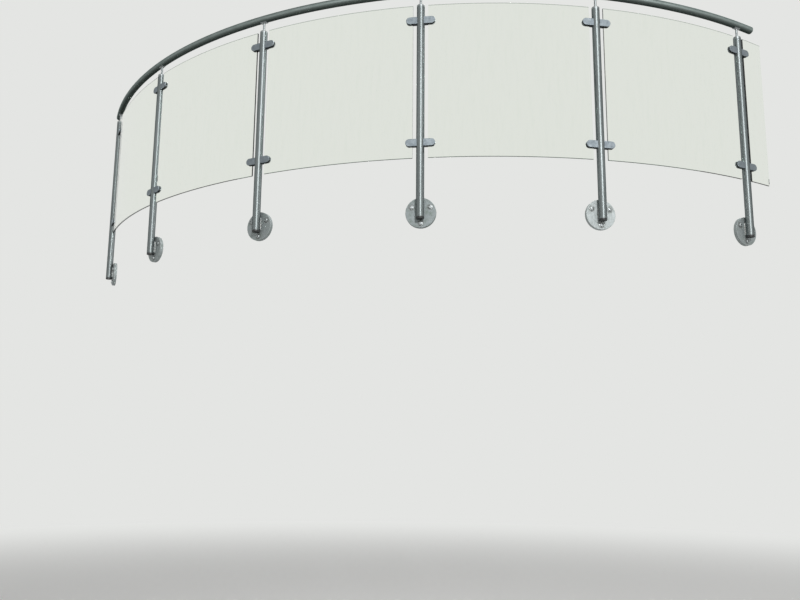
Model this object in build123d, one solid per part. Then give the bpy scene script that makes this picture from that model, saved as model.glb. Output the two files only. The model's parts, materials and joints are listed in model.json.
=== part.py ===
from build123d import *
import math
import os

# Curved glass balustrade that is bolted to the vertical face of a balcony.
# The plan is one circular arc: posts, clamps, glass and handrail all follow it.
# Millimetres. +Z is up, +X runs along the chord and -Y faces out, away from the building.
# The origin is the centre of the back face of the third post's fixing flange.

# Plan
arc_radius = 2900.0
bay_angle = 18.7
post_count = 6
origin_post = 3

# Posts, whose foot hangs below the flange centre
post_diameter = 42.4
post_wall = 2.0
post_foot = 39.0

# Fixing flange
flange_diameter = 160.0
flange_thickness = 20.0
flange_edge_radius = 2.0
flange_face_from_axis = 24.0
bolt_circle = 115.0
bolt_hole_diameter = 13.0
bolt_hole_angles = (30.0, 150.0, 270.0)
cradle_width = 26.0
cradle_below = 24.0
cradle_above = 46.0

# Plugs and caps that close the tubes: how far each stands out of its tube, and its rounded edge
foot_plug_height = 10.0
foot_plug_edge = 1.2
post_cap_height = 12.0
post_cap_edge = 5.0
rail_cap_height = 4.0
rail_cap_edge = 1.2
spigot_depth = 16.0

# Handrail and its brackets. The rail's height above the flange centre sets the post tops and the glass.
rail_height = 1226.0
rail_above_post = 76.0
rail_diameter = 42.4
rail_wall = 2.0
rail_overhang = 120.0
stem_diameter = 13.0
saddle_length = 40.0
saddle_thickness = 3.5
saddle_half_angle = 30.0

# Glass
glass_thickness = 10.0
glass_bottom = 288.0
glass_below_post_top = 2.0
glass_gap_to_axis = 41.0
return_reach = 195.0
glass_arris = 0.8

# Glass clamps
clamp_reach = 78.5
clamp_height = 40.0
clamp_depth = 26.0
clamp_edge_radius = 2.0
upper_clamp_from_glass_top = 89.0
lower_clamp_from_glass_bottom = 82.0
slot_width = 14.0
web_end_from_axis = 36.0
parting_gap = 0.2
gasket_inset = 1.5

# Fits
fit_gap = 0.2
gasket_gap = 0.1


def degrees_along(length):
    """Angle at the arc's centre that covers a length measured along the arc."""
    return math.degrees(length / arc_radius)


# Worked out from the sizes above
post_radius = post_diameter / 2
rail_radius = rail_diameter / 2
seat_radius = rail_radius + fit_gap
post_top = rail_height - rail_above_post
glass_top = post_top - glass_below_post_top
glass_gap = degrees_along(glass_gap_to_axis)
flange_back_radius = arc_radius - flange_face_from_axis - flange_thickness
post_angles = [(i - (post_count - 1) / 2) * bay_angle for i in range(post_count)]
rail_end = post_angles[-1] + degrees_along(rail_overhang)
return_end = post_angles[-1] + degrees_along(return_reach)

# The glass runs on round the arc while a clamp is straight, so each clamp is turned a little about its post.
clamp_turn = degrees_along((glass_gap_to_axis + clamp_reach) / 2) / 2

# The arc's centre, from which the origin on the third post's flange follows
origin_angle = math.radians(post_angles[origin_post - 1])
arc_centre = (-flange_back_radius * math.sin(origin_angle), flange_back_radius * math.cos(origin_angle), 0)


def on_arc(shape, angle):
    """Turns a shape made at the middle of the arc to its own angle, and puts the arc in place."""
    return Pos(*arc_centre) * Rot(0, 0, angle) * shape


def at_post(shape, angle):
    """Places a shape whose Z axis is a post's axis, +X along the arc and +Y towards the building."""
    return on_arc(Pos(0, -arc_radius, 0) * shape, angle)


def mirrored(shape):
    """The same shape on the other side of a post."""
    return mirror(shape, about=Plane.YZ)


def save(name, *solids):
    """Writes one named sub-part, whose solids don't touch."""
    shape = solids[0] if len(solids) == 1 else Compound(children=list(solids))
    shape.label = name
    export_step(shape, f"parts/{name}.step")


def cylinder_between(radius, low, high):
    """Upright cylinder on the Z axis from one height to another."""
    return Pos(0, 0, low) * Cylinder(radius, high - low, align=(Align.CENTER, Align.CENTER, Align.MIN))


def arc_sweep(section, start, end):
    """Turns a section drawn in the XZ plane, X measured from the arc's centre, through part of the arc."""
    ring = revolve(section, axis=Axis.Z, revolution_arc=end - start)
    return Rot(0, 0, start - 90) * ring


def make_post():
    """Straight tube between the foot plug and the post cap."""
    low = -post_foot + foot_plug_height
    high = post_top - post_cap_height
    return cylinder_between(post_radius, low, high) - cylinder_between(post_radius - post_wall, low, high)


def tube_cap(tube_radius, wall, height, edge):
    """Cap on the end of a tube: a rounded rim as wide as the tube and a spigot inside it. The rim faces +Z."""
    rim = cylinder_between(tube_radius, 0, height)
    rim = fillet(rim.faces().sort_by(Axis.Z)[-1].edges(), edge)
    return rim + cylinder_between(tube_radius - wall - fit_gap, -spigot_depth, 0)


def make_foot_plug():
    """Plug in the lower end of a post."""
    plug = tube_cap(post_radius, post_wall, foot_plug_height, foot_plug_edge)
    return Pos(0, 0, -post_foot + foot_plug_height) * Rot(180, 0, 0) * plug


def make_rail_bracket():
    """Post cap, stem and the saddle that cups the underside of the handrail."""
    cap = tube_cap(post_radius, post_wall, post_cap_height, post_cap_edge)
    cap = Pos(0, 0, post_top - post_cap_height) * cap
    saddle_middle = rail_height - seat_radius - saddle_thickness / 2
    stem = cylinder_between(stem_diameter / 2, post_top - post_cap_edge, saddle_middle)
    shell = Circle(seat_radius + saddle_thickness) - Circle(seat_radius)
    drop = 2 * (seat_radius + saddle_thickness)
    spread = drop * math.tan(math.radians(saddle_half_angle))
    wedge = Polygon((0, 0), (-spread, -drop), (spread, -drop), align=None)
    section = Plane.XZ * Pos(arc_radius, rail_height) * (shell & wedge)
    half = degrees_along(saddle_length) / 2
    saddle = Pos(0, arc_radius, 0) * arc_sweep(section, -half, half)
    return cap + stem + saddle


def make_flange():
    """Round plate with three bolt holes, and the cradle that the post is welded into."""
    # The drawing plane's +Y is up, and the plate grows from it towards the building.
    face = Plane((0, flange_face_from_axis, 0), x_dir=(-1, 0, 0), z_dir=(0, 1, 0))
    plate = extrude(face * Circle(flange_diameter / 2), flange_thickness)
    plate = fillet(plate.faces().sort_by(Axis.Y)[0].edges(), flange_edge_radius)
    for angle in bolt_hole_angles:
        hole = Rot(0, 0, angle) * Pos(bolt_circle / 2, 0) * Circle(bolt_hole_diameter / 2)
        plate -= extrude(face * hole, flange_thickness)
    cradle_middle = Pos(0, flange_face_from_axis / 2, (cradle_above - cradle_below) / 2)
    cradle = cradle_middle * Box(cradle_width, flange_face_from_axis, cradle_above + cradle_below)
    cradle -= cylinder_between(post_radius + fit_gap, -post_top, post_top)
    return plate + cradle


def clamp_outline(inset=0.0):
    """D-shaped side view of a clamp: square towards the post and a half circle on the glass."""
    nose = clamp_height / 2
    straight = clamp_reach - nose
    flat_part = Pos(straight / 2, 0) * Rectangle(straight, clamp_height - 2 * inset)
    return flat_part + Pos(straight, 0) * Circle(nose - inset)


def clamp_slab(outline, near, far):
    """Outline in the XZ plane, grown from one depth to another towards the building."""
    return extrude(Plane((0, near, 0), x_dir=(1, 0, 0), z_dir=(0, -1, 0)) * outline, -(far - near))


def beyond(distance):
    """Half space on the glass side of a distance from the post's axis, as a large block."""
    size = 4 * clamp_reach
    return Pos(distance + size / 2, 0, 0) * Box(size, size, size)


def make_clamp():
    """Right-hand clamp at height zero: the body with its web, the cover, and the rubber lining."""
    half_depth = clamp_depth / 2
    half_slot = slot_width / 2
    post_hollow = cylinder_between(post_radius + fit_gap, -clamp_height, clamp_height)
    body = clamp_slab(clamp_outline(), -half_depth, -half_slot)
    body = fillet(body.faces().sort_by(Axis.Y)[0].edges(), clamp_edge_radius)
    web = clamp_slab(clamp_outline(), -half_slot, half_slot - parting_gap) - beyond(web_end_from_axis)
    body = body + web - post_hollow
    cover = clamp_slab(clamp_outline(), half_slot, half_depth)
    cover = fillet(cover.faces().sort_by(Axis.Y)[-1].edges(), clamp_edge_radius) - post_hollow
    lining = clamp_slab(clamp_outline(gasket_inset), -half_slot + gasket_gap, half_slot - gasket_gap)
    lining = lining & beyond(web_end_from_axis + gasket_gap)
    turn = Rot(0, 0, clamp_turn)
    pane_start = degrees_along(glass_gap_to_axis - gasket_gap)
    pane = glass_sheet(pane_start, degrees_along(2 * clamp_reach), -clamp_height, clamp_height, gasket_gap)
    lining = turn * lining - Pos(0, arc_radius, 0) * pane
    return turn * body, turn * cover, lining


def glass_sheet(start, end, low, high, growth=0.0):
    """Part of the curved glass between two angles and two heights, grown through its thickness."""
    width = glass_thickness + 2 * growth
    section = Plane.XZ * Pos(arc_radius, (low + high) / 2) * Rectangle(width, high - low)
    return arc_sweep(section, start, end)


def make_pane(start, end):
    """Toughened sheet from one angle to another, with its long edges arrised."""
    sheet = glass_sheet(start, end, glass_bottom, glass_top)
    return chamfer(sheet.edges().filter_by(GeomType.CIRCLE), glass_arris)


def make_handrail():
    """Tube rolled to the arc, level, above the posts."""
    tube = Circle(rail_radius) - Circle(rail_radius - rail_wall)
    return arc_sweep(Plane.XZ * Pos(arc_radius, rail_height) * tube, -rail_end, rail_end)


def make_rail_cap():
    """Cap on the handrail's right-hand end, made at the middle of the arc and facing +X."""
    cap = tube_cap(rail_radius, rail_wall, rail_cap_height, rail_cap_edge)
    return Pos(0, -arc_radius, rail_height) * Rot(0, 90, 0) * cap


os.makedirs("parts", exist_ok=True)

post = make_post()
flange = make_flange()
bracket = make_rail_bracket()
foot_plug = make_foot_plug()
clamp_body, clamp_cover, clamp_lining = make_clamp()
clamp_levels = {
    "upper": glass_top - upper_clamp_from_glass_top,
    "lower": glass_bottom + lower_clamp_from_glass_bottom,
}

for number, angle in enumerate(post_angles, start=1):
    save(f"post_{number}", at_post(post, angle))
    save(f"post_flange_{number}", at_post(flange, angle))
    save(f"rail_bracket_{number}", at_post(bracket, angle))
    linings = []
    for level_name, level in clamp_levels.items():
        pair = [clamp_body, clamp_cover, mirrored(clamp_body), mirrored(clamp_cover)]
        save(f"{level_name}_clamps_{number}", *[at_post(Pos(0, 0, level) * piece, angle) for piece in pair])
        linings += [Pos(0, 0, level) * clamp_lining, Pos(0, 0, level) * mirrored(clamp_lining)]
    save(f"clamp_gaskets_{number}", *[at_post(lining, angle) for lining in linings])

save("foot_plugs", *[at_post(foot_plug, angle) for angle in post_angles])

for number, (left, right) in enumerate(zip(post_angles, post_angles[1:]), start=1):
    save(f"glass_pane_{number}", on_arc(make_pane(left + glass_gap, right - glass_gap), 0))
save("glass_return_left", on_arc(make_pane(-return_end, post_angles[0] - glass_gap), 0))
save("glass_return_right", on_arc(make_pane(post_angles[-1] + glass_gap, return_end), 0))

save("handrail", on_arc(make_handrail(), 0))
rail_cap = make_rail_cap()
save("handrail_end_caps", on_arc(mirrored(rail_cap), -rail_end), on_arc(rail_cap, rail_end))
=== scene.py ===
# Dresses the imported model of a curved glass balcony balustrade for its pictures.
# Metres. +Z is up, +X runs along the chord and -Y faces out, away from the building.
import json
import math

import bpy
from mathutils import Euler, Matrix, Vector


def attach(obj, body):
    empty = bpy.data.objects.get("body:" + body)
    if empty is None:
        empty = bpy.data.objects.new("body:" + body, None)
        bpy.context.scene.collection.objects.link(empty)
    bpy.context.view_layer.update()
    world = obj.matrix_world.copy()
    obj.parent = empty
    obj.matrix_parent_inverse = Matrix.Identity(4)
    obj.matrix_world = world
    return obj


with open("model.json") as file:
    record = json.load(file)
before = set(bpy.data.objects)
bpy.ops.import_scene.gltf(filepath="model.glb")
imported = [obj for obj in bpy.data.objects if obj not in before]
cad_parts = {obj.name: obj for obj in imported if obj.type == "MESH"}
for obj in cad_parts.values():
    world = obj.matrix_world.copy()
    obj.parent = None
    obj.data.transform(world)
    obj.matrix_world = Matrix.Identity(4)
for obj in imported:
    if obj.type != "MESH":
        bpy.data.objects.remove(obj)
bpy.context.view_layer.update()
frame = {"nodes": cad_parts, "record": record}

cadNodes = frame["nodes"]
bpy.context.scene.view_settings.view_transform = "Standard"
print("frame loaded,", len(cadNodes), "nodes")

# Sizes of the built model that the fittings sit on
model = {
    "arcRadius": 2.9,  # to the post axes
    "postRadius": 0.0212,
    "postTop": 1.15,
    "plateFront": -0.020,  # the outer face of the plate, from its back
    "postAxis": -0.044,  # the post's axis, from the plate's back
    "cradleHalfWidth": 0.013,
    "cradleLow": -0.024,
    "cradleHigh": 0.046,
    "clampLevels": (1.059, 0.370),
    "clampTurn": 0.59,  # degrees about the post
    "coverFace": 0.013,  # the clamp cover's outer face, from the post's axis
    "saddleUnderside": 1.2011,
}

# Each post has its own axes, from the middle of its plate's back: X along the arc, Y towards the building
# and Z up.
postPlaces = []
for mount in frame["record"]["mounts"]:
    if mount["name"].endswith("_face"):
        inward = Vector(mount["axis"])
        turned = Matrix(((inward.y, inward.x, 0), (-inward.x, inward.y, 0), (0, 0, 1))).to_4x4()
        postPlaces.append(Matrix.Translation(mount["pos_m"]) @ turned)
middleOut = model["arcRadius"] + model["postAxis"]
arcCentre = postPlaces[0] @ Vector((0, middleOut, 0))
print("post places read:", len(postPlaces))


def toLinear(hexCode):
    # An sRGB colour code as linear red, green, blue and alpha
    channels = [int(hexCode[i:i + 2], 16) / 255 for i in (1, 3, 5)]
    return tuple(c / 12.92 if c <= 0.04045 else ((c + 0.055) / 1.055) ** 2.4 for c in channels) + (1,)


def addNode(tree, kind, settings=None, inputs=None):
    # Adds a node. An input is a plain value or the output socket that feeds it.
    node = tree.nodes.new(kind)
    for name, value in (settings or {}).items():
        setattr(node, name, value)
    for name, value in (inputs or {}).items():
        if isinstance(value, bpy.types.NodeSocket):
            tree.links.new(value, node.inputs[name])
        else:
            node.inputs[name].default_value = value
    return node


def newMaterial(name):
    # An empty material, and the tree to build in
    material = bpy.data.materials.new(name)
    material.use_nodes = True
    material.node_tree.nodes.clear()
    return material, material.node_tree


# Camera at the photograph's place, in front of the balcony and below it
camera = {
    "place": (2.1018, -3.8786, -1.1776),
    "lens": 36.333,
    "pitch": 10.101,
    "heading": 18.331,
    "roll": 0.497,
}
aim = Euler((math.radians(90 + camera["pitch"]), 0, math.radians(camera["heading"]))).to_matrix()
aim = aim @ Matrix.Rotation(math.radians(camera["roll"]), 3, "Z")
bpy.ops.object.camera_add(location=camera["place"], rotation=aim.to_euler())
bpy.context.object.data.lens = camera["lens"]
bpy.context.scene.camera = bpy.context.object
print("camera placed")

# Soft studio light: a low key where the sun stood, a broad weak fill from above, one lamp behind and above,
# and an even world
light = {
    "target": (0.46, 0.3, 0.6),
    "keyFrom": (0.499, -0.830, 0.250),
    "keyDistance": 14.0,
    "keySize": 1.5,
    "keySpread": 110,
    "keyPower": 545,
    "fillFrom": (0.45, -0.45, 0.77),
    "fillDistance": 7.0,
    "fillSize": 4.0,
    "fillSpread": 180,
    "fillPower": 40,
    "backFrom": (0.45, 0.47, 0.76),
    "backDistance": 10.0,
    "backSize": 3.0,
    "backSpread": 180,
    "backPower": 330,
    "worldLevel": 0.4,
    "backdrop": "#e4e5e3",
}
for name in ("key", "fill", "back"):
    direction = Vector(light[name + "From"]).normalized()
    spot = Vector(light["target"]) + direction * light[name + "Distance"]
    bpy.ops.object.light_add(type="AREA", location=spot,
                             rotation=direction.to_track_quat("Z", "Y").to_euler())
    lamp = bpy.context.object
    lamp.name = name + "Light"
    lamp.data.size = light[name + "Size"]
    lamp.data.spread = math.radians(light[name + "Spread"])
    lamp.data.energy = light[name + "Power"]
    lamp.visible_camera = False
    lamp.visible_transmission = False

# The world lights the object evenly, and the eye, metal and glass see the pale backdrop instead.
world = bpy.data.worlds.new("studio")
bpy.context.scene.world = world
world.use_nodes = True
tree = world.node_tree
tree.nodes.clear()
rays = addNode(tree, "ShaderNodeLightPath").outputs
seen = addNode(tree, "ShaderNodeMath", {"operation": "ADD"},
               {0: rays["Is Camera Ray"], 1: rays["Is Glossy Ray"]})
seen = addNode(tree, "ShaderNodeMath", {"operation": "ADD", "use_clamp": True},
               {0: seen.outputs[0], 1: rays["Is Transmission Ray"]})
even = addNode(tree, "ShaderNodeBackground", inputs={"Strength": light["worldLevel"]})
pale = addNode(tree, "ShaderNodeBackground", inputs={"Color": toLinear(light["backdrop"])})
sky = addNode(tree, "ShaderNodeMixShader",
              inputs={0: seen.outputs[0], 1: even.outputs[0], 2: pale.outputs[0]})
addNode(tree, "ShaderNodeOutputWorld", inputs={"Surface": sky.outputs[0]})

# Pale floor well below the camera, which fades into the backdrop with distance
floor = {"height": -3.2, "size": 120, "colour": "#f4f4f2", "fadeFrom": 7.0, "fadeTo": 18.0}
floorMiddle = (arcCentre.x, 0, floor["height"])
bpy.ops.mesh.primitive_plane_add(size=floor["size"], location=floorMiddle)
ground = bpy.context.object
ground.name = "studioFloor"
bpy.ops.object.transform_apply()
material, tree = newMaterial("matteFloor")
spot = addNode(tree, "ShaderNodeTexCoord").outputs["Object"]
away = addNode(tree, "ShaderNodeVectorMath", {"operation": "DISTANCE"}, {0: spot, 1: floorMiddle})
fade = addNode(tree, "ShaderNodeMapRange", {"interpolation_type": "SMOOTHSTEP"},
               {"Value": away.outputs["Value"], "From Min": floor["fadeFrom"], "From Max": floor["fadeTo"]})
matte = addNode(tree, "ShaderNodeBsdfDiffuse", inputs={"Color": toLinear(floor["colour"])})
far = addNode(tree, "ShaderNodeEmission", inputs={"Color": toLinear(light["backdrop"])})
both = addNode(tree, "ShaderNodeMixShader",
               inputs={0: fade.outputs[0], 1: matte.outputs[0], 2: far.outputs[0]})
addNode(tree, "ShaderNodeOutputMaterial", inputs={"Surface": both.outputs[0]})
ground.data.materials.append(material)
print("studio ready")


# Materials. In their settings a pitch, width, length or size is in metres, a cell count is noise cells per
# metre, a depth is the bump's distance, and a pair of roughnesses is the smoothest and the dullest.

tangentLean = 0.002  # keeps an upright tangent off the normal of a level face

postSteel = {
    "clean": "#8f9697",
    "dull": "#7c8384",
    "foot": "#838a8a",
    # The edge tint is a painted reflection: it darkens the tube's sides where they are seen edge on, in place
    # of dark surroundings mirrored there.
    "edge": "#33373a",  # the tint where the surface is seen edge on
    "roughness": (0.51, 0.55),
    "drawnOut": 0.76,
    "ringPitch": 0.003,
    "ringCells": 9,  # round the tube
    "ringBump": 0.05,
    "ringDepth": 0.0001,
    "runWidth": 0.014,
    "runLength": 0.45,
    "footDirtFrom": 0.28,  # metres above the middle of the plates
    "footDirtTo": -0.05,
}


def groundTubeSteel():
    # Stainless tube, belt-ground round its girth and left outdoors: a soft sheen that is drawn out along the
    # tube, faint rings, and grey runs where rain has carried dirt down.
    material, tree = newMaterial("groundTubeSteel")
    spot = addNode(tree, "ShaderNodeTexCoord").outputs["Object"]
    # The real scratches are about 0.1 mm apart, too fine to show, so they are drawn 3 mm apart.
    ringScale = (postSteel["ringCells"], postSteel["ringCells"], 1 / postSteel["ringPitch"])
    ringSpot = addNode(tree, "ShaderNodeMapping", inputs={"Vector": spot, "Scale": ringScale})
    rings = addNode(tree, "ShaderNodeTexNoise",
                    inputs={"Vector": ringSpot.outputs[0], "Scale": 1, "Detail": 2})
    runScale = (1 / postSteel["runWidth"], 1 / postSteel["runWidth"], 1 / postSteel["runLength"])
    runSpot = addNode(tree, "ShaderNodeMapping", inputs={"Vector": spot, "Scale": runScale})
    runs = addNode(tree, "ShaderNodeTexNoise",
                   inputs={"Vector": runSpot.outputs[0], "Scale": 1, "Detail": 4, "Roughness": 0.6})
    dirty = addNode(tree, "ShaderNodeMapRange",
                    inputs={"Value": runs.outputs[0], "From Min": 0.38, "From Max": 0.68})
    tone = addNode(tree, "ShaderNodeMix", {"data_type": "RGBA"},
                   {0: dirty.outputs[0], 6: toLinear(postSteel["clean"]), 7: toLinear(postSteel["dull"])})
    parts = addNode(tree, "ShaderNodeSeparateXYZ", inputs={0: spot})
    low = addNode(tree, "ShaderNodeMapRange", {"interpolation_type": "SMOOTHSTEP"},
                  {"Value": parts.outputs["Z"], "From Min": postSteel["footDirtFrom"],
                   "From Max": postSteel["footDirtTo"]})
    lowDirt = addNode(tree, "ShaderNodeMath", {"operation": "MULTIPLY"},
                      {0: low.outputs[0], 1: runs.outputs[0]})
    tone = addNode(tree, "ShaderNodeMix", {"data_type": "RGBA"},
                   {0: lowDirt.outputs[0], 6: tone.outputs[2], 7: toLinear(postSteel["foot"])})
    smooth, rough = postSteel["roughness"]
    polish = addNode(tree, "ShaderNodeMapRange",
                     inputs={"Value": rings.outputs[0], "From Min": 0.3, "From Max": 0.7,
                             "To Min": smooth, "To Max": rough})
    bump = addNode(tree, "ShaderNodeBump",
                   inputs={"Strength": postSteel["ringBump"], "Distance": postSteel["ringDepth"],
                           "Height": rings.outputs[0]})
    upright = addNode(tree, "ShaderNodeCombineXYZ", inputs={"X": tangentLean, "Y": tangentLean, "Z": 1})
    metal = addNode(tree, "ShaderNodeBsdfPrincipled",
                    inputs={"Base Color": tone.outputs[2], "Metallic": 1.0, "Roughness": polish.outputs[0],
                            "Specular Tint": toLinear(postSteel["edge"]),
                            "Anisotropic": postSteel["drawnOut"], "Tangent": upright.outputs[0],
                            "Normal": bump.outputs[0]})
    addNode(tree, "ShaderNodeOutputMaterial", inputs={"Surface": metal.outputs[0]})
    return material


railSteel = {
    "clean": "#828b89",
    "dull": "#6f7976",
    # The underside colour is painted shade, laid on the faces that look down.
    "underside": "#3f4744",
    # The edge tint is a painted reflection: it darkens the tube where it is seen edge on, in place of dark
    # surroundings mirrored there.
    "edge": "#5c6163",
    "roughness": (0.54, 0.62),
    "drawnOut": 0.5,
    "ringPitch": 0.004,
    "ringCells": 20,  # round the tube
    "ringBump": 0.2,
    "ringDepth": 0.0001,
    "patchCellsAlong": 14,
    "patchCellsAround": 60,
    "railShadeFrom": -0.32,  # the upward part of the surface's normal
    "railShadeTo": -1.06,
    "railShadeRagged": 0.2,  # how far the patches move the painted shade's edge
    "railShadeRoughness": 0.1,
}


def groundRailSteel():
    # The same tube rolled to the arc. Its faces that look down carry painted shade:
    # they are darker and a little rougher, with a ragged edge.
    material, tree = newMaterial("groundRailSteel")
    spot = addNode(tree, "ShaderNodeTexCoord").outputs["Object"]
    fromCentre = addNode(tree, "ShaderNodeVectorMath", {"operation": "SUBTRACT"},
                         {0: spot, 1: tuple(arcCentre)})
    parts = addNode(tree, "ShaderNodeSeparateXYZ", inputs={0: fromCentre.outputs[0]})
    turn = addNode(tree, "ShaderNodeMath", {"operation": "ARCTAN2"},
                   {0: parts.outputs["Y"], 1: parts.outputs["X"]})
    along = addNode(tree, "ShaderNodeMath", {"operation": "MULTIPLY"},
                    {0: turn.outputs[0], 1: model["arcRadius"]})
    run = addNode(tree, "ShaderNodeCombineXYZ", inputs={"X": along.outputs[0], "Z": parts.outputs["Z"]})
    # Rings of about 0.1 mm, drawn 4 mm apart
    ringScale = (1 / railSteel["ringPitch"], 1, railSteel["ringCells"])
    ringSpot = addNode(tree, "ShaderNodeMapping", inputs={"Vector": run.outputs[0], "Scale": ringScale})
    rings = addNode(tree, "ShaderNodeTexNoise",
                    inputs={"Vector": ringSpot.outputs[0], "Scale": 1, "Detail": 2})
    patchScale = (railSteel["patchCellsAlong"], 1, railSteel["patchCellsAround"])
    patchSpot = addNode(tree, "ShaderNodeMapping", inputs={"Vector": run.outputs[0], "Scale": patchScale})
    patches = addNode(tree, "ShaderNodeTexNoise",
                      inputs={"Vector": patchSpot.outputs[0], "Scale": 1, "Detail": 5, "Roughness": 0.6})
    worn = addNode(tree, "ShaderNodeMapRange",
                   inputs={"Value": patches.outputs[0], "From Min": 0.35, "From Max": 0.7})
    tone = addNode(tree, "ShaderNodeMix", {"data_type": "RGBA"},
                   {0: worn.outputs[0], 6: toLinear(railSteel["clean"]), 7: toLinear(railSteel["dull"])})
    # Painted shade: faces that look down are darkened towards the underside colour and made a little rougher.
    normal = addNode(tree, "ShaderNodeNewGeometry").outputs["Normal"]
    facing = addNode(tree, "ShaderNodeSeparateXYZ", inputs={0: normal})
    ragged = addNode(tree, "ShaderNodeMath", {"operation": "MULTIPLY_ADD"},
                     {0: patches.outputs[0], 1: railSteel["railShadeRagged"], 2: facing.outputs["Z"]})
    meanShift = railSteel["railShadeRagged"] / 2
    below = addNode(tree, "ShaderNodeMapRange",
                    inputs={"Value": ragged.outputs[0], "From Min": railSteel["railShadeFrom"] + meanShift,
                            "From Max": railSteel["railShadeTo"] + meanShift})
    tone = addNode(tree, "ShaderNodeMix", {"data_type": "RGBA"},
                   {0: below.outputs[0], 6: tone.outputs[2], 7: toLinear(railSteel["underside"])})
    smooth, rough = railSteel["roughness"]
    polish = addNode(tree, "ShaderNodeMapRange",
                     inputs={"Value": rings.outputs[0], "From Min": 0.3, "From Max": 0.7,
                             "To Min": smooth, "To Max": rough})
    dulled = addNode(tree, "ShaderNodeMath", {"operation": "MULTIPLY_ADD", "use_clamp": True},
                     {0: below.outputs[0], 1: railSteel["railShadeRoughness"], 2: polish.outputs[0]})
    bump = addNode(tree, "ShaderNodeBump",
                   inputs={"Strength": railSteel["ringBump"], "Distance": railSteel["ringDepth"],
                           "Height": rings.outputs[0]})
    lengthwise = addNode(tree, "ShaderNodeVectorMath", {"operation": "CROSS_PRODUCT"},
                         {0: (0, 0, 1), 1: fromCentre.outputs[0]})
    metal = addNode(tree, "ShaderNodeBsdfPrincipled",
                    inputs={"Base Color": tone.outputs[2], "Metallic": 1.0, "Roughness": dulled.outputs[0],
                            "Specular Tint": toLinear(railSteel["edge"]),
                            "Anisotropic": railSteel["drawnOut"], "Tangent": lengthwise.outputs[0],
                            "Normal": bump.outputs[0]})
    addNode(tree, "ShaderNodeOutputMaterial", inputs={"Surface": metal.outputs[0]})
    return material


bracketSteel = {
    "bright": "#a2a7a8",
    "dull": "#848a8b",
    "roughness": (0.5, 0.58),
    "drawnOut": 0.5,
    "markPitch": 0.0015,
    "markCells": 20,  # round the bar
    "markBump": 0.2,
    "markDepth": 0.0001,
    "cloudCells": 90,
}


def turnedSteel():
    # Stainless bar and cap turned on a lathe and brushed: brighter and finer than the tube
    material, tree = newMaterial("turnedSteel")
    spot = addNode(tree, "ShaderNodeTexCoord").outputs["Object"]
    # Turning marks of about 0.2 mm, drawn 1.5 mm apart
    markScale = (bracketSteel["markCells"], bracketSteel["markCells"], 1 / bracketSteel["markPitch"])
    markSpot = addNode(tree, "ShaderNodeMapping", inputs={"Vector": spot, "Scale": markScale})
    marks = addNode(tree, "ShaderNodeTexNoise",
                    inputs={"Vector": markSpot.outputs[0], "Scale": 1, "Detail": 1})
    clouds = addNode(tree, "ShaderNodeTexNoise",
                     inputs={"Vector": spot, "Scale": bracketSteel["cloudCells"], "Detail": 5,
                             "Roughness": 0.65})
    worn = addNode(tree, "ShaderNodeMapRange",
                   inputs={"Value": clouds.outputs[0], "From Min": 0.4, "From Max": 0.7})
    tone = addNode(tree, "ShaderNodeMix", {"data_type": "RGBA"},
                   {0: worn.outputs[0], 6: toLinear(bracketSteel["bright"]),
                    7: toLinear(bracketSteel["dull"])})
    smooth, rough = bracketSteel["roughness"]
    polish = addNode(tree, "ShaderNodeMapRange",
                     inputs={"Value": marks.outputs[0], "From Min": 0.3, "From Max": 0.7,
                             "To Min": smooth, "To Max": rough})
    bump = addNode(tree, "ShaderNodeBump",
                   inputs={"Strength": bracketSteel["markBump"], "Distance": bracketSteel["markDepth"],
                           "Height": marks.outputs[0]})
    upright = addNode(tree, "ShaderNodeCombineXYZ", inputs={"X": tangentLean, "Y": tangentLean, "Z": 1})
    metal = addNode(tree, "ShaderNodeBsdfPrincipled",
                    inputs={"Base Color": tone.outputs[2], "Metallic": 1.0, "Roughness": polish.outputs[0],
                            "Anisotropic": bracketSteel["drawnOut"], "Tangent": upright.outputs[0],
                            "Normal": bump.outputs[0]})
    addNode(tree, "ShaderNodeOutputMaterial", inputs={"Surface": metal.outputs[0]})
    return material


plateSteel = {
    "bright": "#bec3c3",
    "dull": "#868d8e",
    "washed": (0.4, 0.4, 0.3, 0.12, 0.72, 0.35),  # painted light: how brightly each plate is set to catch the light, plate by plate
    "streakLitShare": 0.6,  # the share of that in the streaks
    "damp": "#7f8a83",
    "dampLitShare": 0.7,  # how much a plate painted bright lacks the damp patches
    "stain": "#68665f",
    "roughness": (0.66, 0.78),
    "streakWidth": 0.007,
    "streakLength": 0.06,
    "patchSize": 0.022,
    "patchBump": 0.3,
    "patchDepth": 0.0002,
    "shiftAcross": 1.7,  # from one plate's pattern to the next
    "shiftUp": 0.9,
    "boltCircle": 0.115,
    "boltAngles": (30, 150, 270),
    "haloFrom": 0.011,  # metres from the bolt's axis
    "haloTo": 0.021,
}


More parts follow.
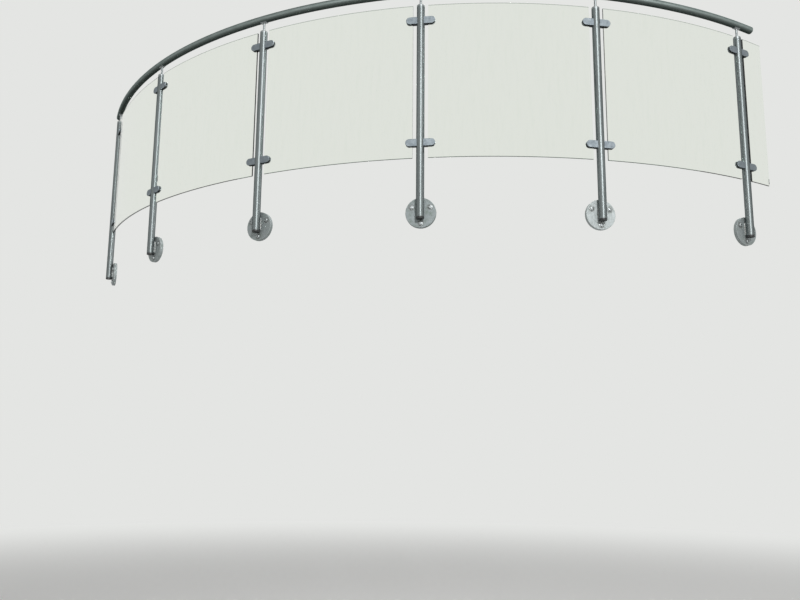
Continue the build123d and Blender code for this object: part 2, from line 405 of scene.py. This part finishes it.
def weatheredPlateSteel(number):
    # Stainless plate cut by laser, ground flat and left outdoors: blotchy, streaked downwards by rain,
    # with a brown tea stain round each fixing bolt. The pattern has the plate's own axes.
    place = postPlaces[number - 1]
    material, tree = newMaterial(f"weatheredPlateSteel{number}")
    spot = addNode(tree, "ShaderNodeTexCoord").outputs["Object"]
    own = addNode(tree, "ShaderNodeMapping", {"vector_type": "TEXTURE"},
                  {"Vector": spot, "Location": place.to_translation(),
                   "Rotation": place.to_euler()}).outputs[0]
    shift = (number * plateSteel["shiftAcross"], 0, number * plateSteel["shiftUp"])
    shifted = addNode(tree, "ShaderNodeVectorMath", {"operation": "ADD"}, {0: own, 1: shift})
    streakScale = (1 / plateSteel["streakWidth"], 1, 1 / plateSteel["streakLength"])
    streakSpot = addNode(tree, "ShaderNodeMapping",
                         inputs={"Vector": shifted.outputs[0], "Scale": streakScale})
    streaks = addNode(tree, "ShaderNodeTexNoise",
                      inputs={"Vector": streakSpot.outputs[0], "Scale": 1, "Detail": 4, "Roughness": 0.6})
    patches = addNode(tree, "ShaderNodeTexNoise",
                      inputs={"Vector": shifted.outputs[0], "Scale": 1 / plateSteel["patchSize"], "Detail": 6,
                              "Roughness": 0.65})
    worn = addNode(tree, "ShaderNodeMapRange",
                   inputs={"Value": streaks.outputs[0], "From Min": 0.35, "From Max": 0.68})
    # Each plate's overall brightness is painted light and shade, set plate by plate; the streaks, damp
    # patches and bolt stains on top are the plate's own.
    washed = plateSteel["washed"][number - 1]
    dull, clean = (Vector(toLinear(plateSteel["dull"])).lerp(Vector(toLinear(plateSteel["bright"])), share)
                   for share in (washed * plateSteel["streakLitShare"], washed))
    tone = addNode(tree, "ShaderNodeMix", {"data_type": "RGBA"}, {0: worn.outputs[0], 6: clean, 7: dull})
    damp = addNode(tree, "ShaderNodeMapRange",
                   inputs={"Value": patches.outputs[0], "From Min": 0.5, "From Max": 0.72,
                           "To Max": 1 - plateSteel["dampLitShare"] * washed})
    tone = addNode(tree, "ShaderNodeMix", {"data_type": "RGBA"},
                   {0: damp.outputs[0], 6: tone.outputs[2], 7: toLinear(plateSteel["damp"])})
    # Nearest bolt, measured in the face of the plate
    flat = addNode(tree, "ShaderNodeVectorMath", {"operation": "MULTIPLY"}, {0: own, 1: (1, 0, 1)}).outputs[0]
    radius = plateSteel["boltCircle"] / 2
    nearest = None
    for angle in plateSteel["boltAngles"]:
        turn = math.radians(angle)
        bolt = (radius * math.cos(turn), 0, radius * math.sin(turn))
        away = addNode(tree, "ShaderNodeVectorMath", {"operation": "DISTANCE"},
                       {0: flat, 1: bolt}).outputs["Value"]
        if nearest is None:
            nearest = away
        else:
            nearest = addNode(tree, "ShaderNodeMath", {"operation": "MINIMUM"},
                              {0: nearest, 1: away}).outputs[0]
    halo = addNode(tree, "ShaderNodeMapRange", {"interpolation_type": "SMOOTHSTEP"},
                   {"Value": nearest, "From Min": plateSteel["haloTo"], "From Max": plateSteel["haloFrom"]})
    stain = addNode(tree, "ShaderNodeMath", {"operation": "MULTIPLY"},
                    {0: halo.outputs[0], 1: patches.outputs[0]})
    tone = addNode(tree, "ShaderNodeMix", {"data_type": "RGBA"},
                   {0: stain.outputs[0], 6: tone.outputs[2], 7: toLinear(plateSteel["stain"])})
    smooth, rough = plateSteel["roughness"]
    polish = addNode(tree, "ShaderNodeMapRange",
                     inputs={"Value": patches.outputs[0], "From Min": 0.3, "From Max": 0.72,
                             "To Min": smooth, "To Max": rough})
    bump = addNode(tree, "ShaderNodeBump",
                   inputs={"Strength": plateSteel["patchBump"], "Distance": plateSteel["patchDepth"],
                           "Height": patches.outputs[0]})
    metal = addNode(tree, "ShaderNodeBsdfPrincipled",
                    inputs={"Base Color": tone.outputs[2], "Metallic": 1.0, "Roughness": polish.outputs[0],
                            "Normal": bump.outputs[0]})
    addNode(tree, "ShaderNodeOutputMaterial", inputs={"Surface": metal.outputs[0]})
    return material


clampSteel = {
    "clean": "#858d92",
    "dull": "#757d83",
    # The underside colour is painted shade, laid on the faces that look down.
    "underside": "#3f4446",
    "roughness": (0.56, 0.68),
    "peelSize": 0.0016,
    "peelBump": 0.15,
    "peelDepth": 0.0001,
    "cloudCells": 55,
    "clampShadeFrom": -0.55,  # the upward part of the surface's normal
    "clampShadeTo": -0.95,
}


def castClampSteel():
    # Investment-cast stainless, linished and tumbled: an even satin with a very fine orange peel. The faces
    # that look down are painted dark, as painted shade.
    material, tree = newMaterial("castClampSteel")
    spot = addNode(tree, "ShaderNodeTexCoord").outputs["Object"]
    # Peel of about 0.5 mm, drawn 1.6 mm across
    peel = addNode(tree, "ShaderNodeTexNoise",
                   inputs={"Vector": spot, "Scale": 1 / clampSteel["peelSize"], "Detail": 2})
    clouds = addNode(tree, "ShaderNodeTexNoise",
                     inputs={"Vector": spot, "Scale": clampSteel["cloudCells"], "Detail": 5,
                             "Roughness": 0.6})
    worn = addNode(tree, "ShaderNodeMapRange",
                   inputs={"Value": clouds.outputs[0], "From Min": 0.38, "From Max": 0.7})
    tone = addNode(tree, "ShaderNodeMix", {"data_type": "RGBA"},
                   {0: worn.outputs[0], 6: toLinear(clampSteel["clean"]), 7: toLinear(clampSteel["dull"])})
    # Painted shade: faces that look down are darkened towards the underside colour.
    normal = addNode(tree, "ShaderNodeNewGeometry").outputs["Normal"]
    facing = addNode(tree, "ShaderNodeSeparateXYZ", inputs={0: normal})
    below = addNode(tree, "ShaderNodeMapRange",
                    inputs={"Value": facing.outputs["Z"], "From Min": clampSteel["clampShadeFrom"],
                            "From Max": clampSteel["clampShadeTo"]})
    tone = addNode(tree, "ShaderNodeMix", {"data_type": "RGBA"},
                   {0: below.outputs[0], 6: tone.outputs[2], 7: toLinear(clampSteel["underside"])})
    smooth, rough = clampSteel["roughness"]
    polish = addNode(tree, "ShaderNodeMapRange",
                     inputs={"Value": clouds.outputs[0], "From Min": 0.3, "From Max": 0.7,
                             "To Min": smooth, "To Max": rough})
    bump = addNode(tree, "ShaderNodeBump",
                   inputs={"Strength": clampSteel["peelBump"], "Distance": clampSteel["peelDepth"],
                           "Height": peel.outputs[0]})
    metal = addNode(tree, "ShaderNodeBsdfPrincipled",
                    inputs={"Base Color": tone.outputs[2], "Metallic": 1.0, "Roughness": polish.outputs[0],
                            "Normal": bump.outputs[0]})
    addNode(tree, "ShaderNodeOutputMaterial", inputs={"Surface": metal.outputs[0]})
    return material


paneGlass = {
    "face": "#f8fbf5",
    "rainMark": "#f5f9f2",
    "edge": "#94b3a1",
    "roughness": 0.0,
    "ior": 1.52,
    "faceFrom": 0.9,  # how squarely a face looks out of the arc or into it
    "markCellsAcross": 50,
    "markCellsDown": 7,
}


def toughenedGlass():
    # Clear float glass, bent and toughened: its faces are fire-polished, and its ground and polished edges
    # are greener.
    material, tree = newMaterial("toughenedGlass")
    spot = addNode(tree, "ShaderNodeTexCoord").outputs["Object"]
    fromCentre = addNode(tree, "ShaderNodeVectorMath", {"operation": "SUBTRACT"},
                         {0: spot, 1: tuple(arcCentre)})
    level = addNode(tree, "ShaderNodeVectorMath", {"operation": "MULTIPLY"},
                    {0: fromCentre.outputs[0], 1: (1, 1, 0)})
    radial = addNode(tree, "ShaderNodeVectorMath", {"operation": "NORMALIZE"}, {0: level.outputs[0]})
    normal = addNode(tree, "ShaderNodeNewGeometry").outputs["Normal"]
    facing = addNode(tree, "ShaderNodeVectorMath", {"operation": "DOT_PRODUCT"},
                     {0: radial.outputs[0], 1: normal})
    flat = addNode(tree, "ShaderNodeMath", {"operation": "ABSOLUTE"}, {0: facing.outputs["Value"]})
    edge = addNode(tree, "ShaderNodeMath", {"operation": "LESS_THAN"},
                   {0: flat.outputs[0], 1: paneGlass["faceFrom"]})
    # Dried rain marks, about 20 mm wide and 150 mm long, that dim the faces a little
    markScale = (paneGlass["markCellsAcross"], paneGlass["markCellsAcross"], paneGlass["markCellsDown"])
    markSpot = addNode(tree, "ShaderNodeMapping", inputs={"Vector": spot, "Scale": markScale})
    marks = addNode(tree, "ShaderNodeTexNoise",
                    inputs={"Vector": markSpot.outputs[0], "Scale": 1, "Detail": 4, "Roughness": 0.6})
    dusty = addNode(tree, "ShaderNodeMapRange",
                    inputs={"Value": marks.outputs[0], "From Min": 0.5, "From Max": 0.75})
    face = addNode(tree, "ShaderNodeMix", {"data_type": "RGBA"},
                   {0: dusty.outputs[0], 6: toLinear(paneGlass["face"]), 7: toLinear(paneGlass["rainMark"])})
    tone = addNode(tree, "ShaderNodeMix", {"data_type": "RGBA"},
                   {0: edge.outputs[0], 6: face.outputs[2], 7: toLinear(paneGlass["edge"])})
    glass = addNode(tree, "ShaderNodeBsdfPrincipled",
                    inputs={"Base Color": tone.outputs[2], "Roughness": paneGlass["roughness"],
                            "IOR": paneGlass["ior"], "Transmission Weight": 1.0})
    addNode(tree, "ShaderNodeOutputMaterial", inputs={"Surface": glass.outputs[0]})
    return material


liningRubber = {
    "fresh": "#1b1b1c",
    "bloomed": "#333331",
    "roughness": 0.78,
    "bloomCells": 120,
    "bloomBump": 0.2,
    "bloomDepth": 0.0002,
}


def extrudedRubber():
    # Black EPDM strip, extruded and cut to the clamps: matt, with a patchy grey bloom from the weather
    material, tree = newMaterial("extrudedRubber")
    spot = addNode(tree, "ShaderNodeTexCoord").outputs["Object"]
    bloom = addNode(tree, "ShaderNodeTexNoise",
                    inputs={"Vector": spot, "Scale": liningRubber["bloomCells"], "Detail": 4})
    tone = addNode(tree, "ShaderNodeMix", {"data_type": "RGBA"},
                   {0: bloom.outputs[0], 6: toLinear(liningRubber["fresh"]),
                    7: toLinear(liningRubber["bloomed"])})
    bump = addNode(tree, "ShaderNodeBump",
                   inputs={"Strength": liningRubber["bloomBump"], "Distance": liningRubber["bloomDepth"],
                           "Height": bloom.outputs[0]})
    rubber = addNode(tree, "ShaderNodeBsdfPrincipled",
                     inputs={"Base Color": tone.outputs[2], "Roughness": liningRubber["roughness"],
                             "Normal": bump.outputs[0]})
    addNode(tree, "ShaderNodeOutputMaterial", inputs={"Surface": rubber.outputs[0]})
    return material


plugPlastic = {
    "fresh": "#16191a",
    "dusty": "#2b2d2d",
    "roughness": (0.45, 0.65),
    "grainCells": 700,
    "grainBump": 0.25,
    "grainDepth": 0.0002,
    "dustCells": 70,
}


def mouldedPlugPlastic():
    # Black polyamide plug from a spark-eroded mould: a fine grain, a low sheen and patches of grey dust
    material, tree = newMaterial("mouldedPlugPlastic")
    spot = addNode(tree, "ShaderNodeTexCoord").outputs["Object"]
    grain = addNode(tree, "ShaderNodeTexNoise",
                    inputs={"Vector": spot, "Scale": plugPlastic["grainCells"], "Detail": 2})
    dust = addNode(tree, "ShaderNodeTexNoise",
                   inputs={"Vector": spot, "Scale": plugPlastic["dustCells"], "Detail": 5, "Roughness": 0.65})
    dusty = addNode(tree, "ShaderNodeMapRange",
                    inputs={"Value": dust.outputs[0], "From Min": 0.45, "From Max": 0.75})
    tone = addNode(tree, "ShaderNodeMix", {"data_type": "RGBA"},
                   {0: dusty.outputs[0], 6: toLinear(plugPlastic["fresh"]),
                    7: toLinear(plugPlastic["dusty"])})
    smooth, rough = plugPlastic["roughness"]
    polish = addNode(tree, "ShaderNodeMapRange",
                     inputs={"Value": dust.outputs[0], "To Min": smooth, "To Max": rough})
    bump = addNode(tree, "ShaderNodeBump",
                   inputs={"Strength": plugPlastic["grainBump"], "Distance": plugPlastic["grainDepth"],
                           "Height": grain.outputs[0]})
    plastic = addNode(tree, "ShaderNodeBsdfPrincipled",
                      inputs={"Base Color": tone.outputs[2], "Roughness": polish.outputs[0],
                              "Normal": bump.outputs[0]})
    addNode(tree, "ShaderNodeOutputMaterial", inputs={"Surface": plastic.outputs[0]})
    return material


boltSteel = {"bright": "#a3a8a9", "dull": "#7f8383", "roughness": (0.36, 0.52), "cloudCells": 160}


def forgedBoltSteel():
    # Cold-forged stainless screws and washers, barrel-polished: bright, with dull water marks
    material, tree = newMaterial("forgedBoltSteel")
    spot = addNode(tree, "ShaderNodeTexCoord").outputs["Object"]
    clouds = addNode(tree, "ShaderNodeTexNoise",
                     inputs={"Vector": spot, "Scale": boltSteel["cloudCells"], "Detail": 5,
                             "Roughness": 0.65})
    worn = addNode(tree, "ShaderNodeMapRange",
                   inputs={"Value": clouds.outputs[0], "From Min": 0.42, "From Max": 0.7})
    tone = addNode(tree, "ShaderNodeMix", {"data_type": "RGBA"},
                   {0: worn.outputs[0], 6: toLinear(boltSteel["bright"]), 7: toLinear(boltSteel["dull"])})
    smooth, rough = boltSteel["roughness"]
    polish = addNode(tree, "ShaderNodeMapRange",
                     inputs={"Value": clouds.outputs[0], "From Min": 0.3, "From Max": 0.7,
                             "To Min": smooth, "To Max": rough})
    metal = addNode(tree, "ShaderNodeBsdfPrincipled",
                    inputs={"Base Color": tone.outputs[2], "Metallic": 1.0, "Roughness": polish.outputs[0]})
    addNode(tree, "ShaderNodeOutputMaterial", inputs={"Surface": metal.outputs[0]})
    return material


weldMetal = {"bead": "#a3a6a6", "heat": "#928f89", "roughness": 0.55, "tintCells": 110}


def tigWeldMetal():
    # TIG weld, brushed but not pickled: dull grey scales with a little straw-coloured heat tint
    material, tree = newMaterial("tigWeldMetal")
    spot = addNode(tree, "ShaderNodeTexCoord").outputs["Object"]
    clouds = addNode(tree, "ShaderNodeTexNoise",
                     inputs={"Vector": spot, "Scale": weldMetal["tintCells"], "Detail": 4})
    tinted = addNode(tree, "ShaderNodeMapRange",
                     inputs={"Value": clouds.outputs[0], "From Min": 0.45, "From Max": 0.75})
    tone = addNode(tree, "ShaderNodeMix", {"data_type": "RGBA"},
                   {0: tinted.outputs[0], 6: toLinear(weldMetal["bead"]), 7: toLinear(weldMetal["heat"])})
    metal = addNode(tree, "ShaderNodeBsdfPrincipled",
                    inputs={"Base Color": tone.outputs[2], "Metallic": 1.0,
                            "Roughness": weldMetal["roughness"]})
    addNode(tree, "ShaderNodeOutputMaterial", inputs={"Surface": metal.outputs[0]})
    return material


postFinish = groundTubeSteel()
railFinish = groundRailSteel()
bracketFinish = turnedSteel()
clampFinish = castClampSteel()
glassFinish = toughenedGlass()
liningFinish = extrudedRubber()
plugFinish = mouldedPlugPlastic()
boltFinish = forgedBoltSteel()
weldFinish = tigWeldMetal()
finishes = {
    "post_": postFinish,
    "rail_bracket_": bracketFinish,
    "upper_clamps_": clampFinish,
    "lower_clamps_": clampFinish,
    "clamp_gaskets_": liningFinish,
    "glass_": glassFinish,
    "handrail": railFinish,
    "foot_plugs": plugFinish,
}
for name, node in cadNodes.items():
    if name.startswith("post_flange_"):
        finish = weatheredPlateSteel(int(name.rsplit("_", 1)[1]))
    else:
        finish = next(finish for start, finish in finishes.items() if name.startswith(start))
    node.data.materials.clear()
    node.data.materials.append(finish)
    if name.startswith("glass_"):
        node.visible_shadow = False  # clear glass lets the lamps through
print("finishes on the built model")


# Fittings

meshLists = {"FACE": "polygons", "EDGE": "edges", "VERT": "vertices"}
smoothingAngle = 32  # degrees
squareOn = 0.9  # a face whose normal is at least this far along Z counts as level
crownSteps = 7
washerEdgeSteps = 2


def deselectAll():
    bpy.ops.object.select_all(action="DESELECT")


def selectParts(piece, kind, wanted):
    # Selects those faces, edges or vertices of the active piece for which wanted(part) is true, and stays in
    # edit mode.
    bpy.ops.object.mode_set(mode="EDIT")
    bpy.ops.mesh.select_mode(type=kind)
    bpy.ops.mesh.select_all(action="DESELECT")
    bpy.ops.object.mode_set(mode="OBJECT")
    for part in getattr(piece.data, meshLists[kind]):
        part.select = wanted(part)
    bpy.ops.object.mode_set(mode="EDIT")


def joined(pieces, name, finish):
    # Makes one piece of several, and puts it on the built model.
    deselectAll()
    for piece in pieces:
        piece.select_set(True)
    bpy.context.view_layer.objects.active = pieces[0]
    bpy.ops.object.join()
    bpy.ops.object.transform_apply()
    whole = bpy.context.object
    whole.name = name
    whole.data.name = name
    whole.data.materials.clear()
    whole.data.materials.append(finish)
    bpy.ops.object.shade_smooth_by_angle(angle=math.radians(smoothingAngle))
    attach(whole, "root")


def copyOf(master, place):
    # A copy with its own mesh, at its place
    copy = master.copy()
    copy.data = master.data.copy()
    bpy.context.collection.objects.link(copy)
    copy.data.transform(place)
    return copy


def buttonScrew(size):
    # Button-head socket screw that stands on Z = 0, with its shank below
    deselectAll()
    bpy.ops.mesh.primitive_cylinder_add(vertices=size["sides"], radius=size["headRadius"],
                                        depth=size["headHeight"], location=(0, 0, size["headHeight"] / 2))
    head = bpy.context.object
    bpy.ops.object.transform_apply()
    selectParts(head, "FACE", lambda face: face.normal.z > squareOn)
    bpy.ops.mesh.bevel(offset=size["crown"], offset_type="OFFSET", segments=crownSteps, profile=0.5,
                       affect="EDGES")
    selectParts(head, "FACE", lambda face: face.normal.z < -squareOn)
    bpy.ops.mesh.inset(thickness=size["headRadius"] - size["shankRadius"])
    bpy.ops.mesh.extrude_region_move(TRANSFORM_OT_translate={"value": (0, 0, -size["shankLength"])})
    bpy.ops.object.mode_set(mode="OBJECT")
    deselectAll()
    bpy.ops.mesh.primitive_cylinder_add(vertices=6, radius=size["socketAcross"] / math.sqrt(3),
                                        depth=2 * size["socketDepth"], location=(0, 0, size["headHeight"]))
    hexagon = bpy.context.object
    deselectAll()
    head.select_set(True)
    bpy.context.view_layer.objects.active = head
    socket = head.modifiers.new("socket", "BOOLEAN")
    socket.operation = "DIFFERENCE"
    socket.solver = "EXACT"
    socket.object = hexagon
    bpy.ops.object.modifier_apply(modifier="socket")
    bpy.data.objects.remove(hexagon)
    return head


def plainWasher(size):
    # Flat washer on Z = 0 with softened edges
    deselectAll()
    bpy.ops.mesh.primitive_cylinder_add(vertices=size["sides"], radius=size["outerRadius"],
                                        depth=size["thickness"], location=(0, 0, size["thickness"] / 2))
    ring = bpy.context.object
    bpy.ops.object.transform_apply()
    selectParts(ring, "FACE", lambda face: abs(face.normal.z) > squareOn)
    bpy.ops.mesh.inset(thickness=size["outerRadius"] - size["innerRadius"])
    bpy.ops.mesh.bridge_edge_loops()
    bpy.ops.object.mode_set(mode="OBJECT")
    softened = ring.modifiers.new("edges", "BEVEL")
    softened.width = size["edge"]
    softened.segments = washerEdgeSteps
    softened.limit_method = "ANGLE"
    bpy.ops.object.modifier_apply(modifier="edges")
    return ring


# Three fixing screws in each plate. The anchors they turn into belong to the slab.
flangeScrew = {
    "headRadius": 0.0100,
    "headHeight": 0.0064,
    "crown": 0.0048,
    "socketAcross": 0.008,
    "socketDepth": 0.0038,
    "shankRadius": 0.006,
    "shankLength": 0.0225,
    "sides": 40,
    "turnPerPlate": 17,  # degrees, so that each has stopped at its own angle
    "turnPerHole": 23,
}
flangeWasher = {"outerRadius": 0.012, "innerRadius": 0.0065, "thickness": 0.0025, "edge": 0.0004, "sides": 40}
screw = buttonScrew(flangeScrew)
washer = plainWasher(flangeWasher)
onWasher = Matrix.Translation((0, 0, flangeWasher["thickness"]))
outward = Matrix.Rotation(math.radians(90), 4, "X")  # turns +Z to -Y
reach = plateSteel["boltCircle"] / 2
for number, place in enumerate(postPlaces, start=1):
    screws, washers = [], []
    for index, angle in enumerate(plateSteel["boltAngles"]):
        turn = math.radians(angle)
        hole = Matrix.Translation((reach * math.cos(turn), model["plateFront"], reach * math.sin(turn)))
        seat = place @ hole @ outward
        stopped = math.radians(flangeScrew["turnPerPlate"] * number + flangeScrew["turnPerHole"] * index)
        screws.append(copyOf(screw, seat @ onWasher @ Matrix.Rotation(stopped, 4, "Z")))
        washers.append(copyOf(washer, seat))
    joined(screws, f"flange_screws_{number}", boltFinish)
    joined(washers, f"flange_washers_{number}", boltFinish)
bpy.data.objects.remove(screw)
bpy.data.objects.remove(washer)
print("fixing screws in place")

# Two cover screws on each clamp, on the building side, through the web between the post and the glass
clampScrew = {
    "headRadius": 0.00525,
    "headHeight": 0.0033,
    "crown": 0.0024,
    "socketAcross": 0.004,
    "socketDepth": 0.0019,
    "shankRadius": 0.003,
    "shankLength": 0.004,
    "sides": 28,
    "fromPost": 0.029,
    "offLevel": 0.0115,
    "turnPerScrew": 31,  # degrees
}
screw = buttonScrew(clampScrew)
inwardTurn = Matrix.Rotation(math.radians(-90), 4, "X")  # turns +Z to +Y
for number, place in enumerate(postPlaces, start=1):
    screws = []
    for level in model["clampLevels"]:
        postSpot = place @ Matrix.Translation((0, model["postAxis"], level))
        for side in (1, -1):
            turned = Matrix.Rotation(math.radians(side * model["clampTurn"]), 4, "Z")
            for rise in (clampScrew["offLevel"], -clampScrew["offLevel"]):
                hole = Matrix.Translation((side * clampScrew["fromPost"], model["coverFace"], rise))
                stopped = math.radians(clampScrew["turnPerScrew"] * len(screws))
                seat = postSpot @ turned @ hole @ inwardTurn
                screws.append(copyOf(screw, seat @ Matrix.Rotation(stopped, 4, "Z")))
    joined(screws, f"clamp_screws_{number}", boltFinish)
bpy.data.objects.remove(screw)
print("clamp screws in place")

# Two screws up through each saddle into the handrail
saddleScrew = {
    "headRadius": 0.0037,
    "headHeight": 0.0022,
    "crown": 0.0015,
    "socketAcross": 0.0025,
    "socketDepth": 0.0012,
    "shankRadius": 0.002,
    "shankLength": 0.003,
    "sides": 28,
    "fromStem": 0.014,
    "sunk": 0.0005,
}
screw = buttonScrew(saddleScrew)
downward = Matrix.Rotation(math.radians(180), 4, "X")
for number, place in enumerate(postPlaces, start=1):
    screws = []
    for side in (1, -1):
        across = side * saddleScrew["fromStem"]
        # The saddle curves back with the rail.
        bow = model["arcRadius"] * (1 - math.cos(across / model["arcRadius"]))
        spot = (across, model["postAxis"] + bow, model["saddleUnderside"] + saddleScrew["sunk"])
        screws.append(copyOf(screw, place @ Matrix.Translation(spot) @ downward))
    joined(screws, f"saddle_screws_{number}", boltFinish)
bpy.data.objects.remove(screw)
print("saddle screws in place")

# Weld beads: the post in its cradle, the cradle on the plate, and the stem between cap and saddle
weldBead = {
    "radius": 0.0026,
    "sides": 12,
    "ripple": 0.0016,
    "dip": 0.86,  # the share of the width in the dips, and at the ends
    "end": 0.45,
    "shortBy": 0.001,  # at each end of an upright bead
    "offSide": 0.0006,  # from the metal to the bead's middle line
    "offFront": 0.0004,
}
stemBead = {
    "radius": 0.0015,
    "sides": 10,
    "steps": 56,
    "dip": 0.18,  # the depth of the dips, as a share of the radius
    "stemRadius": 0.0065,
    "offStem": 0.0008,
    "offEnd": 0.0003,
}


def weldRun(length):
    # A straight bead up Z from the origin, rippled like overlapping scales and drawn in at both ends
    deselectAll()
    bpy.ops.mesh.primitive_cylinder_add(vertices=weldBead["sides"], radius=weldBead["radius"], depth=length,
                                        location=(0, 0, length / 2))
    bead = bpy.context.object
    bpy.ops.object.transform_apply()
    steps = 2 * round(length / weldBead["ripple"] / 2)
    heights = [vertex.co.z for vertex in bead.data.vertices]
    selectParts(bead, "EDGE",
                lambda edge: abs(heights[edge.vertices[0]] - heights[edge.vertices[1]]) > length / 2)
    bpy.ops.mesh.subdivide(number_cuts=steps - 1)
    bpy.ops.object.mode_set(mode="OBJECT")
    step = length / steps
    for scale, wanted in ((weldBead["dip"], lambda vertex: round(vertex.co.z / step) % 2 == 1),
                          (weldBead["end"], lambda vertex: round(vertex.co.z / step) in (0, steps))):
        selectParts(bead, "VERT", wanted)
        bpy.ops.transform.resize(value=(scale, scale, 1), center_override=(0, 0, 0))
        bpy.ops.object.mode_set(mode="OBJECT")
    return bead


def weldRing(radius):
    # A rippled bead round Z at the origin
    deselectAll()
    bpy.ops.mesh.primitive_torus_add(major_radius=radius, minor_radius=stemBead["radius"],
                                     major_segments=stemBead["steps"], minor_segments=stemBead["sides"])
    ring = bpy.context.object
    stepsPerRadian = stemBead["steps"] / (2 * math.pi)
    selectParts(ring, "VERT",
                lambda vertex: round(math.atan2(vertex.co.y, vertex.co.x) * stepsPerRadian) % 2 == 1)
    bpy.ops.transform.shrink_fatten(value=-stemBead["radius"] * stemBead["dip"])
    bpy.ops.object.mode_set(mode="OBJECT")
    return ring


cradleHeight = model["cradleHigh"] - model["cradleLow"]
longRun = weldRun(cradleHeight - 2 * weldBead["shortBy"])
shortRun = weldRun(2 * model["cradleHalfWidth"])
stemRing = weldRing(stemBead["stemRadius"] + stemBead["offStem"])
sideways = Matrix.Rotation(math.radians(90), 4, "Y")
postLine = model["postAxis"] + math.sqrt(model["postRadius"] ** 2 - model["cradleHalfWidth"] ** 2)
onPlate = model["plateFront"] - weldBead["offFront"]
for number, place in enumerate(postPlaces, start=1):
    beads = []
    for side in (1, -1):
        edge = side * (model["cradleHalfWidth"] + weldBead["offSide"])
        for depth in (postLine - weldBead["offFront"], onPlate):
            seat = Matrix.Translation((edge, depth, model["cradleLow"] + weldBead["shortBy"]))
            beads.append(copyOf(longRun, place @ seat))
    for height in (model["cradleLow"], model["cradleHigh"]):
        seat = Matrix.Translation((-model["cradleHalfWidth"], onPlate, height))
        beads.append(copyOf(shortRun, place @ seat @ sideways))
    joined(beads, f"cradle_welds_{number}", weldFinish)
    rings = []
    for height in (model["postTop"] + stemBead["offEnd"], model["saddleUnderside"] - stemBead["offEnd"]):
        rings.append(copyOf(stemRing, place @ Matrix.Translation((0, model["postAxis"], height))))
    joined(rings, f"stem_welds_{number}", weldFinish)
for master in (longRun, shortRun, stemRing):
    bpy.data.objects.remove(master)
print("weld beads in place")
